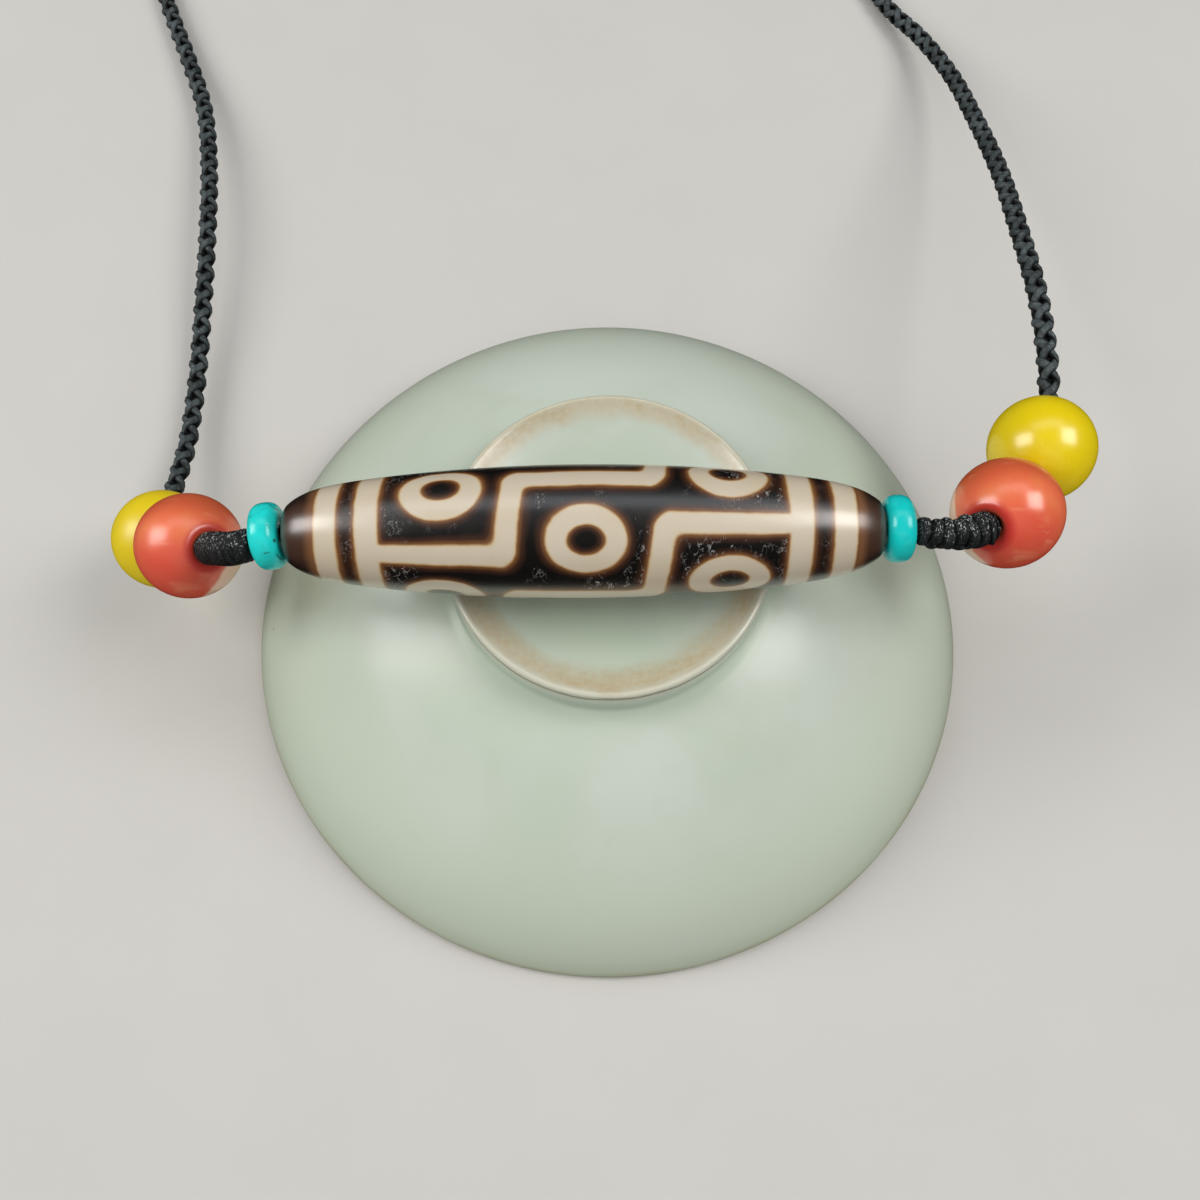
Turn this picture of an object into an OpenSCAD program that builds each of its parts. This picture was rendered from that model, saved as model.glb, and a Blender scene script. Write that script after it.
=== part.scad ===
// Dzi bead necklace lying across the foot ring of an upturned bowl, in millimetres.
// The origin is on the floor under the middle of the long bead, +X along it, +Y away, +Z up.

/* [Dzi bead] */
// Length of the long barrel bead
dzi_l = 58.6; // [44:0.2:76]
// Largest diameter of the barrel bead
dzi_d = 13.2; // [11:0.1:16]
// Radius of the long arc that makes the barrel
dzi_arc_r = 174; // [130:1:400]
// Radius of the rounded shoulders at the two ends
dzi_shoulder_r = 2.2; // [1.6:0.1:3.4]

/* [Turquoise discs] */
// Diameter of each disc
disc_d = 6.7; // [5.6:0.1:9]
// Thickness of each disc at its middle
disc_t = 2.8; // [2:0.1:3.2]

/* [Round beads] */
// Diameter of the red beads
coral_d = 11.5; // [8:0.1:14]
// Diameter of the yellow beads
yellow_d = 11.5; // [8:0.1:14]
// Diameter of the countersunk mouth of a red bead's hole
coral_mouth_d = 4.4; // [3.8:0.1:5]
// Depth of the red beads' countersinks along the hole
coral_mouth_depth = 1.4; // [0.8:0.1:2]
// Diameter of the countersunk mouth of a yellow bead's hole
yellow_mouth_d = 4.8; // [3.8:0.1:5.4]
// Depth of the yellow beads' countersinks along the hole
yellow_mouth_depth = 1.6; // [0.8:0.1:2.4]

/* [Thread and knots] */
// Diameter of the thread through the beads
thread_d = 1.4; // [1:0.1:1.6]
// Clearance round the thread in every hole
thread_gap = 0.2; // [0.15:0.05:0.3]
// Diameter of the knotted stretches where they enter the red beads
knot_d = 3.4; // [3:0.1:3.6]
// Diameter of the left knotted stretch beside its disc
knot_start_left = 2.8; // [2.6:0.1:3.2]
// Diameter of the right knotted stretch beside its disc
knot_start_right = 2.8; // [2.6:0.1:3.6]
// Height of the lumps along the knotted stretches
knot_lump = 0.2; // [0:0.02:0.3]
// Clearance between neighbouring pieces on the string
bead_gap = 0.2; // [0.15:0.05:0.6]

/* [Neck cord] */
// Diameter of the braided neck cord
cord_d = 2.6; // [2.2:0.1:2.8]
// Clearance between the cord's ends and the yellow beads' holes
cord_gap = 0.2; // [0.1:0.05:0.3]
// Outside diameter of the sleeve that joins the cord's ends
join_d = 5.2; // [4.4:0.1:5.4]
// Length of the joining sleeve
join_l = 12; // [8:0.5:14]
// Clearance between the sleeve and the cord in it
join_gap = 0.15; // [0.1:0.05:0.3]

/* [Bowl stand] */
// Diameter of the bowl's mouth, which stands on the floor
rim_d = 86; // [78:1:110]
// Height of the upturned bowl to the top of its foot ring
bowl_h = 28; // [27:0.5:40]
// Thickness of the bowl's wall
bowl_wall = 2.6; // [2:0.1:3.5]
// Steepness of the wall at the rim, in degrees from the floor
rim_slope = 68; // [64:1:74]
// Outside diameter of the foot ring
foot_d = 34; // [28:0.5:38]
// Height of the foot ring's outside above the wall
foot_h = 4.5; // [3.4:0.1:7]
// Width of the foot ring
foot_w = 1.4; // [1:0.1:3.6]
// Depth of the dished base inside the foot ring
foot_recess = 2.8; // [1.5:0.1:3]
// Clearance between the long bead and the foot ring that carries it
seat_gap = 0.1; // [0.05:0.05:0.3]

/* [Hidden] */
$fn = 96;

// Places across the floor
bowl_x = 2.5;
dzi_y = -1.8;
// Turn of the long bead seen from above, in degrees
dzi_turn = 0.5;

// Sides of the string, and which way each runs from the long bead
LEFT = 0;
RIGHT = 1;
side_sign = [-1, 1];

// How the string lies on each side, from the long bead outwards, left row then right row
disc_way = [[-0.985, -0.1, -0.085], [1, 0.02, 0.02]];
coral_way = [[-0.657, 0.332, -0.676], [0.617, 0.551, -0.565]];
link_way = [[-0.54, 0.38, -0.74], [0.514, 0.796, -0.318]];
yellow_way = [[-0.43, 0.44, -0.79], [0.3, 0.95, -0.03]];
// Extra room beside the long bead for a disc that leans
disc_lean_gap = [0.15, 0];
// Each knotted stretch, from the disc's outer face to the red bead's hole
knot_route = [
    [[0, 0, 0], [-0.8, -0.1, -0.1], [-1.7, -0.2, -0.75], [-2.9, 0.05, -2.2], [-4.2, 0.65, -4.1],
     [-5.6, 1.5, -6.3], [-6.98, 2.33, -8.25]],
    [[0, 0, 0], [1.1, -0.08, -0.08], [2.6, -0.3, -0.36], [4.4, -0.26, -0.68], [6.2, 0.17, -1.17],
     [7.76, 0.73, -1.62]]
];

// The neck cord's middle line, from the left yellow bead round the back to the right one
cord_route = [
    [-51.55, 8.25, 9.55], [-52.6, 10.3, 7.4], [-52.8, 13.8, 5.5], [-52.4, 18.5, 4.2], [-52.1, 25.5, 3],
    [-52.1, 35, 2.9], [-52.3, 46, 3.8], [-52.8, 57, 4.4], [-54, 68, 3.9], [-56.3, 79, 2.8],
    [-60.3, 89.5, 1.8], [-64.2, 99, 1.4], [-68.2, 110.5, 1.4], [-71.4, 124, 1.4], [-72.4, 138, 1.4],
    [-70.6, 152, 1.4], [-66, 165, 1.5], [-61, 174.5, 1.8], [-54.5, 181.5, 2.3], [-47.5, 184.6, 2.6],
    [-41.5, 185, 2.7], [-36, 185, 2.7], [-30.5, 185, 2.7], [-24.5, 184.6, 2.6], [-17, 182, 2.2],
    [-7.5, 176.5, 1.6], [3.5, 168, 1.4], [14, 157, 1.4], [23.5, 144, 1.4], [32, 129, 1.4],
    [39, 114, 1.4], [45, 100, 1.7], [49.4, 91.8, 3.2], [52.2, 81.8, 6.2], [53.2, 70, 10.5],
    [53.4, 57, 15.7], [52.7, 44, 20.8], [52.2, 32, 24.6], [51.6, 22, 26], [51, 15.9, 25.65]
];
// The route point that the joining sleeve is centred on
join_at = 21;
// Smooth steps between two neighbouring points of a route
knot_steps = 4;
cord_steps = 2;
knot_sides = 12;
cord_sides = 8;
thread_sides = 8;
// Lumps along each knotted stretch
knot_lumps = 8;
// Where a knotted stretch ends in a red bead's hole and the neck cord in a yellow one's,
// as depths below the sphere's surface
knot_sink = 0.2;
cord_sink = 1.3;
// Points on each arc of a turned outline
arc_steps = 20;
corner_steps = 8;
// A cut reaches this far past what it cuts
past = 1;

hole_d = thread_d + 2 * thread_gap;

function unit(v) = v / norm(v);
function last(list) = list[len(list) - 1];
function backward(list) = [for (i = [len(list) - 1 : -1 : 0]) list[i]];
// Points on an arc about a centre, between two angles
function arc(centre, r, from_a, to_a, n) =
    [for (i = [0 : n]) let (a = from_a + (to_a - from_a) * i / n) centre + r * [cos(a), sin(a)]];
// A smooth line through points, with their neighbours steering each span
function span(p, i) = [p[max(i - 1, 0)], p[i], p[i + 1], p[min(i + 2, len(p) - 1)]];
function on_span(q, t) = 0.5 * (2 * q[1] + (q[2] - q[0]) * t
    + (2 * q[0] - 5 * q[1] + 4 * q[2] - q[3]) * t * t
    + (3 * q[1] - q[0] - 3 * q[2] + q[3]) * t * t * t);
function smooth(p, n) = concat(
    [for (i = [0 : len(p) - 2], k = [0 : n - 1]) on_span(span(p, i), k / n)], [last(p)]);

// The long bead: its radius at a distance from its middle, and the shoulder's centre
function dzi_r_at(x) = dzi_d / 2 - dzi_arc_r + sqrt(dzi_arc_r * dzi_arc_r - x * x);
shoulder_x = dzi_l / 2 - dzi_shoulder_r;
shoulder_y = dzi_d / 2 - dzi_arc_r + sqrt(pow(dzi_arc_r - dzi_shoulder_r, 2) - shoulder_x * shoulder_x);
shoulder_a = acos(shoulder_x / (dzi_arc_r - dzi_shoulder_r));

// The bowl's wall is an arc that leaves the rim at its slope and runs up to the foot ring
rim_r = rim_d / 2;
foot_r = foot_d / 2;
wall_run = rim_r - foot_r;
wall_rise = bowl_h - foot_h;
wall_arc_r = (wall_run * wall_run + wall_rise * wall_rise)
    / (2 * (wall_run * sin(rim_slope) - wall_rise * cos(rim_slope)));
wall_x = rim_r - wall_arc_r * sin(rim_slope);
wall_z = -wall_arc_r * cos(rim_slope);
wall_in_r = wall_arc_r - bowl_wall;
crest_r = foot_w / 2;
lip_r = foot_r - crest_r;
// The crest rolls over to this angle, where the dished base begins
crest_a = 150;
dish_edge = lip_r + crest_r * cos(crest_a);
dish_drop = foot_recess - crest_r * (1 - sin(crest_a));
dish_r = (dish_edge * dish_edge + dish_drop * dish_drop) / (2 * dish_drop);

// The long bead rests on the foot ring where the ring passes under its middle line
reach = sqrt(lip_r * lip_r - dzi_y * dzi_y);
seat_r = max(dzi_r_at(bowl_x - reach), dzi_r_at(bowl_x + reach));
dzi_mid = [0, dzi_y, bowl_h + seat_r + seat_gap];
dzi_way = [cos(dzi_turn), sin(dzi_turn), 0];

// Places along the string, worked out from the long bead outwards
function dzi_end(s) = dzi_mid + side_sign[s] * dzi_way * dzi_l / 2;
function disc_in(s) = dzi_end(s) + unit(disc_way[s]) * (bead_gap + disc_lean_gap[s]);
function disc_out(s) = disc_in(s) + unit(disc_way[s]) * disc_t;
function knot_start(s) = disc_out(s) + unit(disc_way[s]) * bead_gap;
function knot_points(s) = [for (p = knot_route[s]) knot_start(s) + p];
function knot_line(s) = smooth(knot_points(s), knot_steps);
function coral_mid(s) = last(knot_points(s)) + unit(coral_way[s]) * (coral_d / 2 - knot_sink);
function yellow_mid(s) = coral_mid(s) + unit(link_way[s]) * ((coral_d + yellow_d) / 2 + bead_gap);
function coral_out(s) = coral_mid(s) + unit(coral_way[s]) * coral_d / 2;
function yellow_in(s) = yellow_mid(s) - unit(yellow_way[s]) * yellow_d / 2;
function thread_end(s) = yellow_mid(s) + unit(yellow_way[s]) * (yellow_d / 2 - cord_sink - cord_gap);
function thread_side(s) = concat([dzi_end(s), disc_in(s), disc_out(s)], knot_line(s),
    [coral_mid(s), coral_out(s), yellow_in(s), thread_end(s)]);

join_mid = cord_route[join_at];
join_way = unit(cord_route[join_at + 1] - cord_route[join_at - 1]);

// The way a line runs at one of its points, and a ring of points square to it
function run(p, i) = unit(p[min(i + 1, len(p) - 1)] - p[max(i - 1, 0)]);
function ring(c, way, r, n) =
    let (across = unit(cross(way, [0, 0, 1])), up = cross(across, way))
    [for (k = [0 : n - 1]) let (a = 360 * (k + 0.5) / n) c + r * (cos(a) * across + sin(a) * up)];
// Side faces between rings of n points, outwards or inwards, and the two end caps
function skin(rings, n, first, outwards) = [for (i = [0 : rings - 2], k = [0 : n - 1])
    let (a = first + i * n + k, b = first + i * n + (k + 1) % n)
    outwards ? [a, b, b + n, a + n] : [a, a + n, b + n, b]];
function cap(first, n, turned) = [for (k = [0 : n - 1]) first + (turned ? n - 1 - k : k)];
function rim_faces(outer, inner, n, turned) = [for (k = [0 : n - 1])
    let (f = [outer + k, outer + (k + 1) % n, inner + (k + 1) % n, inner + k])
    turned ? backward(f) : f];

// A solid round tube along a line of points
module tube(p, d, n) {
    points = [for (i = [0 : len(p) - 1]) each ring(p[i], run(p, i), d / 2, n)];
    faces = concat([cap(0, n, false)], skin(len(p), n, 0, false), [cap((len(p) - 1) * n, n, true)]);
    polyhedron(points = points, faces = faces, convexity = 10);
}

// A hollow sleeve along a line of points, its outer radius given at each one
module sleeve(p, radii, hole_r, n) {
    outer = [for (i = [0 : len(p) - 1]) each ring(p[i], run(p, i), radii[i], n)];
    inner = [for (i = [0 : len(p) - 1]) each ring(p[i], run(p, i), hole_r, n)];
    second = len(p) * n;
    end = (len(p) - 1) * n;
    faces = concat(skin(len(p), n, 0, false), skin(len(p), n, second, true),
        rim_faces(0, second, n, false), rim_faces(end, second + end, n, true));
    polyhedron(points = concat(outer, inner), faces = faces, convexity = 10);
}

// Puts a piece that stands along Z at a place, along a direction
module along(place, way) {
    translate(place)
        rotate([0, acos(way.z), atan2(way.y, way.x)])
            children();
}

module stand_bowl() {
    start_a = 90 - rim_slope;
    foot_a = acos((foot_r - wall_x) / wall_arc_r);
    inner_a = asin(-wall_z / wall_in_r);
    // The inner curve runs up to a flat that leaves a wall's thickness under the dished base
    floor_z = bowl_h - foot_recess - bowl_wall;
    flat_a = asin(min(1, (floor_z - wall_z) / wall_in_r));
    has_flat = wall_x + wall_in_r * cos(flat_a) > 0;
    crown_a = has_flat ? flat_a : acos(-wall_x / wall_in_r);
    crown = [0, wall_z + wall_in_r * sin(crown_a)];
    inner = arc([wall_x, wall_z], wall_in_r, crown_a, inner_a, arc_steps);
    dish_a = asin(dish_edge / dish_r);
    profile = concat(
        arc([wall_x, wall_z], wall_arc_r, start_a, foot_a, arc_steps),
        arc([lip_r, bowl_h - crest_r], crest_r, 0, crest_a, corner_steps),
        arc([0, bowl_h - foot_recess + dish_r], dish_r, -90 + dish_a, -90, corner_steps),
        [crown],
        has_flat ? inner : [for (i = [1 : arc_steps]) inner[i]]);
    color([0.75, 0.8, 0.73])
        translate([bowl_x, 0, 0])
            rotate_extrude()
                polygon(profile);
}

module dzi_bead() {
    half = concat(
        arc([shoulder_y, shoulder_x], dzi_shoulder_r, 90, 90 - shoulder_a, corner_steps),
        [for (i = [arc_steps - 1 : -1 : 0])
            let (x = (shoulder_x + dzi_shoulder_r * cos(shoulder_a)) * i / arc_steps) [dzi_r_at(x), x]]);
    profile = concat([[0, dzi_l / 2]], half, [for (p = backward(half)) [p.x, -p.y]], [[0, -dzi_l / 2]]);
    color([0.16, 0.1, 0.08])
        along(dzi_mid, dzi_way)
            difference() {
                rotate_extrude()
                    polygon(profile);
                cylinder(d = hole_d, h = dzi_l + 2 * past, center = true);
            }
}

module turquoise_disc(s) {
    edge = disc_t / 2;
    color([0.1, 0.7, 0.66])
        along((disc_in(s) + disc_out(s)) / 2, unit(disc_way[s]))
            difference() {
                rotate_extrude()
                    polygon(concat([[0, -edge]],
                        arc([disc_d / 2 - edge, 0], edge, -90, 90, 2 * corner_steps), [[0, edge]]));
                cylinder(d = hole_d, h = disc_t + 2 * past, center = true);
            }
}

// A drilled ball with a countersunk mouth at both ends of its hole
module round_bead(place, way, d, mouth_d, mouth_depth) {
    mouth_z = sqrt(d * d - mouth_d * mouth_d) / 2;
    bottom = mouth_z - mouth_depth;
    slope = (mouth_d - hole_d) / 2 / mouth_depth;
    cut_h = d / 2 + past - bottom;
    along(place, way)
        difference() {
            sphere(d = d);
            cylinder(d = hole_d, h = d + 2 * past, center = true);
            for (turn = [0, 180])
                rotate([turn, 0, 0])
                    translate([0, 0, bottom])
                        cylinder(r1 = hole_d / 2, r2 = hole_d / 2 + slope * cut_h, h = cut_h);
        }
}

module coral_bead(s) {
    color([0.84, 0.3, 0.2])
        round_bead(coral_mid(s), unit(coral_way[s]), coral_d, coral_mouth_d, coral_mouth_depth);
}

module yellow_bead(s) {
    color([0.85, 0.77, 0.08])
        round_bead(yellow_mid(s), unit(yellow_way[s]), yellow_d, yellow_mouth_d, yellow_mouth_depth);
}

// A knotted stretch: lumps follow each other along it
module knot_cord(s) {
    line = knot_line(s);
    n = len(line) - 1;
    start_d = [knot_start_left, knot_start_right][s];
    radii = [for (i = [0 : n])
        (start_d + (knot_d - start_d) * i / n) / 2 - knot_lump * pow(cos(180 * knot_lumps * i / n), 2)];
    color([0.1, 0.1, 0.11])
        sleeve(line, radii, hole_d / 2, knot_sides);
}

module bead_thread() {
    color([0.08, 0.08, 0.09])
        tube(concat(backward(thread_side(LEFT)), thread_side(RIGHT)), thread_d, thread_sides);
}

module neck_cord() {
    color([0.1, 0.1, 0.11])
        tube(smooth(cord_route, cord_steps), cord_d, cord_sides);
}

module cord_join() {
    wall = (join_d - cord_d) / 2 - join_gap;
    middle = join_d / 2 - wall / 2;
    flat = join_l / 2 - wall / 2;
    color([0.12, 0.12, 0.13])
        along(join_mid, join_way)
            rotate_extrude()
                polygon(concat(arc([middle, flat], wall / 2, 0, 180, corner_steps),
                    arc([middle, -flat], wall / 2, 180, 360, corner_steps)));
}

stand_bowl();
dzi_bead();
turquoise_disc(LEFT);  // turquoise_disc_left
turquoise_disc(RIGHT);  // turquoise_disc_right
knot_cord(LEFT);  // knot_cord_left
knot_cord(RIGHT);  // knot_cord_right
coral_bead(LEFT);  // coral_bead_left
coral_bead(RIGHT);  // coral_bead_right
yellow_bead(LEFT);  // yellow_bead_left
yellow_bead(RIGHT);  // yellow_bead_right
bead_thread();
neck_cord();
cord_join();
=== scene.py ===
import math
import bpy
import numpy as np
from mathutils import Matrix


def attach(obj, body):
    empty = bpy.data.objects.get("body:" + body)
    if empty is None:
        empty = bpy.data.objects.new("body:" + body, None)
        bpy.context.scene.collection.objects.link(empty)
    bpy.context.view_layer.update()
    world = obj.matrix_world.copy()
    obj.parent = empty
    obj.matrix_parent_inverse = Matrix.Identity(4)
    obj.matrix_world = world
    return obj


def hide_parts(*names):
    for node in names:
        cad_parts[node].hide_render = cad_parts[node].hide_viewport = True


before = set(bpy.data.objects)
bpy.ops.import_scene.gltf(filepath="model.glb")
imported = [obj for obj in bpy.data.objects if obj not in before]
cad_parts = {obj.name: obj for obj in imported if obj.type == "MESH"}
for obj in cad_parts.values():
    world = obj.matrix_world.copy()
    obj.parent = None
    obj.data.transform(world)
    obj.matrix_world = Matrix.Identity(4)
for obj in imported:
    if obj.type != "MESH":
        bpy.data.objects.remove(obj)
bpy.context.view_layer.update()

metre = 0.001  # every size below is in millimetres and goes into the meshes times this
millimetres = 1 / metre  # and this turns a material's coordinates back into them
link = bpy.context.scene.collection.objects.link


def unit(v):
    v = np.asarray(v, float)
    return v / np.linalg.norm(v, axis=-1, keepdims=True)


# A smooth line through points: on each span half of a cubic whose slopes follow the neighbours
def smoothLine(points, steps):
    p = np.asarray(points, float)
    q = np.vstack([p[:1], p, p[-1:]])
    t = (np.arange(steps) / steps)[None, :, None]
    a, b, c, d = (q[k:len(p) - 1 + k, None, :] for k in range(4))
    spans = 0.5 * (2 * b + (c - a) * t + (2 * a - 5 * b + 4 * c - d) * t ** 2
                   + (3 * b - a - 3 * c + d) * t ** 3)
    return np.vstack([spans.reshape(-1, 3), p[-1:]])


# The same line with evenly spaced points: each coordinate looked up at equal steps of length
def evenLine(points, count):
    run = np.concatenate([[0], np.cumsum(np.linalg.norm(np.diff(points, axis=0), axis=1))])
    at = np.linspace(0, run[-1], count)
    return np.stack([np.interp(at, run, points[:, k]) for k in range(3)], 1), at


# Directions across a line and over it: across is level and square to the run
def lineFrame(line):
    run = unit(np.gradient(line, axis=0))
    across = unit(np.cross(run, [0.0, 0.0, 1.0]))
    return across, np.cross(across, run)


# Rings round a line: point = line + radius x (cos a across + sin a over)
def ringsRound(line, radius, a):
    across, over = lineFrame(line)
    spokes = (np.cos(a)[None, :, None] * across[:, None, :]
              + np.sin(a)[None, :, None] * over[:, None, :])
    return line[:, None, :] + radius[:, :, None] * spokes


def fullTurn(count):
    return 2 * np.pi * np.arange(count) / count


# A turned shape: each outline point swept round an axis, radius x (cos a, sin a) on two square directions
def turned(along, radius, middle, way, start, around):
    way = unit(way)
    first = unit(np.asarray(start, float) - np.dot(start, way) * way)
    second = np.cross(way, first)
    a = fullTurn(around)[:, None]
    spokes = np.cos(a) * first + np.sin(a) * second
    return (np.asarray(middle, float) + np.asarray(along)[:, None, None] * way
            + np.asarray(radius)[:, None, None] * spokes)


# Points of an arc about a centre from one angle to another, in degrees
def arcPoints(centre, radius, fromA, toA, count):
    a = np.radians(np.linspace(fromA, toA, count))
    return np.stack([centre[0] + radius * np.cos(a), centre[1] + radius * np.sin(a)], 1)


# Faces of one shell with their map corners: quads between neighbouring rings, and a fan to the middle
# of each open end; a closed shell joins its last ring to its first. Turned over if it is inside out
def shellFaces(shell):
    grid, along = shell["grid"], np.asarray(shell["along"], float)
    rows, around = grid.shape[:2]
    points = grid.reshape(-1, 3)
    index = np.arange(rows * around).reshape(rows, around)
    if shell.get("closeAlong"):
        index, along = np.vstack([index, index[:1]]), np.append(along, along[0])
    a, b = index[:-1], index[1:]
    quads = np.stack([a, b, np.roll(b, -1, 1), np.roll(a, -1, 1)], -1).reshape(-1, 4)
    left, right = np.arange(around) / around, (np.arange(around) + 1) / around
    near, far = (np.repeat(along[k:len(along) - 1 + k, None], around, 1) for k in (0, 1))
    le, ri = np.broadcast_to(left, near.shape), np.broadcast_to(right, near.shape)
    quadMaps = np.stack([near, le, far, le, far, ri, near, ri], -1).reshape(-1, 4, 2)
    fans, fanMaps = np.zeros((0, 3), int), np.zeros((0, 3, 2))
    if not shell.get("closeAlong"):
        for end, (row, sign) in enumerate(((0, 1), (-1, -1))):
            ring = index[row][::sign]
            pole = np.full(around, rows * around + end)
            fans = np.vstack([fans, np.stack([ring, np.roll(ring, -1), pole], 1)])
            u = np.full(around, along[row])
            fanMaps = np.vstack([fanMaps, np.stack([u, left, u, right, u, left], -1).reshape(-1, 3, 2)])
        points = np.vstack([points, grid[0].mean(0), grid[-1].mean(0)])
    p = points[np.vstack([quads[:, [0, 1, 2]], quads[:, [0, 2, 3]], fans])]
    if np.einsum("ij,ij->", p[:, 0], np.cross(p[:, 1], p[:, 2])) < 0:
        quads, quadMaps, fans, fanMaps = (part[:, ::-1] for part in (quads, quadMaps, fans, fanMaps))
    return points, quads, fans, np.vstack([quadMaps.reshape(-1, 2), fanMaps.reshape(-1, 2)])


def closedShell(grid, along):
    return [{"grid": grid, "along": along, "closeAlong": True}]


# One object from shells of points; its map "place" holds millimetres along and the share of a turn
def buildPiece(name, shells, material):
    coords, faces, maps, first = [], [], [], 0
    for shell in shells:
        points, quads, fans, corners = shellFaces(shell)
        coords.append(points)
        faces += (quads + first).tolist() + (fans + first).tolist()
        maps.append(corners)
        first += len(points)
    mesh = bpy.data.meshes.new(name)
    mesh.from_pydata((np.vstack(coords) * metre).tolist(), [], faces)
    mesh.polygons.foreach_set("use_smooth", np.ones(len(faces), bool))
    mesh.uv_layers.new(name="place").data.foreach_set("uv", np.vstack(maps).ravel())
    mesh.materials.append(material)
    mesh.update()
    piece = bpy.data.objects.new(name, mesh)
    link(piece)
    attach(piece, "root")
    return piece


# A value on its way through a node tree; sums and products of it add Math nodes
class Wire:
    def __init__(self, socket):
        self.socket, self.tree = socket, socket.id_data

    def do(self, operation, *others, clamp=False):
        return addNode(self.tree, "ShaderNodeMath", {0: self, **dict(enumerate(others, 1))},
                       operation=operation, use_clamp=clamp)[0]

    def __add__(self, other):
        return self.do("ADD", other)

    def __sub__(self, other):
        return self.do("SUBTRACT", other)

    def __mul__(self, other):
        return self.do("MULTIPLY", other)

    def __abs__(self):
        return self.do("ABSOLUTE")

    def __pow__(self, other):
        return self.do("POWER", other)


def plug(socket, value):
    if isinstance(value, Wire):
        value.tree.links.new(value.socket, socket)
    else:
        socket.default_value = value


# A new node with its inputs plugged in; gives its outputs as wires
def addNode(tree, kind, inputs=None, **settings):
    node = tree.nodes.new(kind)
    for name, value in settings.items():
        setattr(node, name, value)
    for key, value in (inputs or {}).items():
        plug(node.inputs[key], value)
    return [Wire(socket) for socket in node.outputs]


def vectorDo(operation, first, second):
    return addNode(first.tree, "ShaderNodeVectorMath", {0: first, 1: second}, operation=operation)


def stretched(vector, amounts):
    return vectorDo("MULTIPLY", vector, amounts)[0]


def joined(x, y, z=0.0):
    return addNode(x.tree, "ShaderNodeCombineXYZ", {0: x, 1: y, 2: z})[0]


def softStep(value, low, high):
    return addNode(value.tree, "ShaderNodeMapRange", {"Value": value, "From Min": low, "From Max": high},
                   interpolation_type="SMOOTHSTEP")[0]


def between(value, low, high):
    return addNode(value.tree, "ShaderNodeMapRange", {"Value": value, "To Min": low, "To Max": high})[0]


def blend(factor, first, second):
    return addNode(factor.tree, "ShaderNodeMix", {0: factor, 6: first, 7: second}, data_type="RGBA")[2]


def noiseAt(vector, scale, detail=3.0, rough=0.5, distortion=0.0):
    return addNode(vector.tree, "ShaderNodeTexNoise", {
        "Vector": vector, "Scale": scale, "Detail": detail, "Roughness": rough, "Distortion": distortion})


def rampOf(value, stops):
    node = value.tree.nodes.new("ShaderNodeValToRGB")
    plug(node.inputs[0], value)
    while len(node.color_ramp.elements) < len(stops):
        node.color_ramp.elements.new(0.5)
    for element, (place, colour) in zip(node.color_ramp.elements, stops):
        element.position, element.color = place, colour
    return Wire(node.outputs[0])


# A shared effect: its named inputs as wires, numbers or vectors as their defaults are, and its outputs
def startGroup(name, inputs, outputs):
    group = bpy.data.node_groups.new(name, "ShaderNodeTree")
    for socketName, value in inputs.items():
        kind = "NodeSocketFloat" if isinstance(value, float) else "NodeSocketVector"
        socket = group.interface.new_socket(socketName, in_out="INPUT", socket_type=kind)
        if value is not None:
            socket.default_value = value
    for socketName in outputs:
        group.interface.new_socket(socketName, in_out="OUTPUT", socket_type="NodeSocketFloat")
    entry, leave = group.nodes.new("NodeGroupInput"), group.nodes.new("NodeGroupOutput")
    return group, {s.name: Wire(s) for s in entry.outputs if s.name}, leave.inputs


def placed(tree, group, inputs):
    node = tree.nodes.new("ShaderNodeGroup")
    node.node_tree = group
    for key, value in inputs.items():
        plug(node.inputs[key], value)
    return [Wire(socket) for socket in node.outputs]


def newMaterial(name, **fixed):
    material = bpy.data.materials.new(name)
    material.use_nodes = True
    shader = material.node_tree.nodes["Principled BSDF"]
    for key, value in fixed.items():
        shader.inputs[key.replace("_", " ")].default_value = value
    return material, material.node_tree, shader.inputs


def objectPlace(tree, centre=(0, 0, 0)):
    coords = addNode(tree, "ShaderNodeTexCoord")[3]  # the object's own coordinates
    return addNode(tree, "ShaderNodeMapping", {"Vector": coords, "Location": [-c * metre for c in centre]})[0]


def pieceMap(tree):
    place = addNode(tree, "ShaderNodeUVMap", uv_map="place")[0]
    return addNode(tree, "ShaderNodeSeparateXYZ", {0: place})[:2]


# Bumps laid on each other: each layer is a height, its depth in millimetres and its strength
def setBump(shader, layers):
    normal = None
    for height, depth, strength in layers:
        inputs = {"Height": height, "Distance": depth * metre, "Strength": strength}
        if normal is not None:
            inputs["Normal"] = normal
        normal = addNode(height.tree, "ShaderNodeBump", inputs)[0]
    plug(shader["Normal"], normal)


# Slow patches: cloudy noise cut softly between two levels. Settings give the scale, which grows as they
# shrink, then the levels where they start and where they are full
mottle, i, o = startGroup("softMottle", {"Vector": None, "Scale": 50.0, "Low": 0.4, "High": 0.6}, ["Mask"])
plug(o["Mask"], softStep(noiseAt(i["Vector"], i["Scale"], 4.0, 0.55, 0.3)[0], i["Low"], i["High"]))


def patches(place, scale, low, high):
    return placed(place.tree, mottle, {"Vector": place, "Scale": scale, "Low": low, "High": high})[0]


# Distance from the thin lines between the cells of a pattern
def crackLines(vector, scale):
    return addNode(vector.tree, "ShaderNodeTexVoronoi", {"Vector": vector, "Scale": scale},
                   feature="DISTANCE_TO_EDGE")[0]


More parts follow.
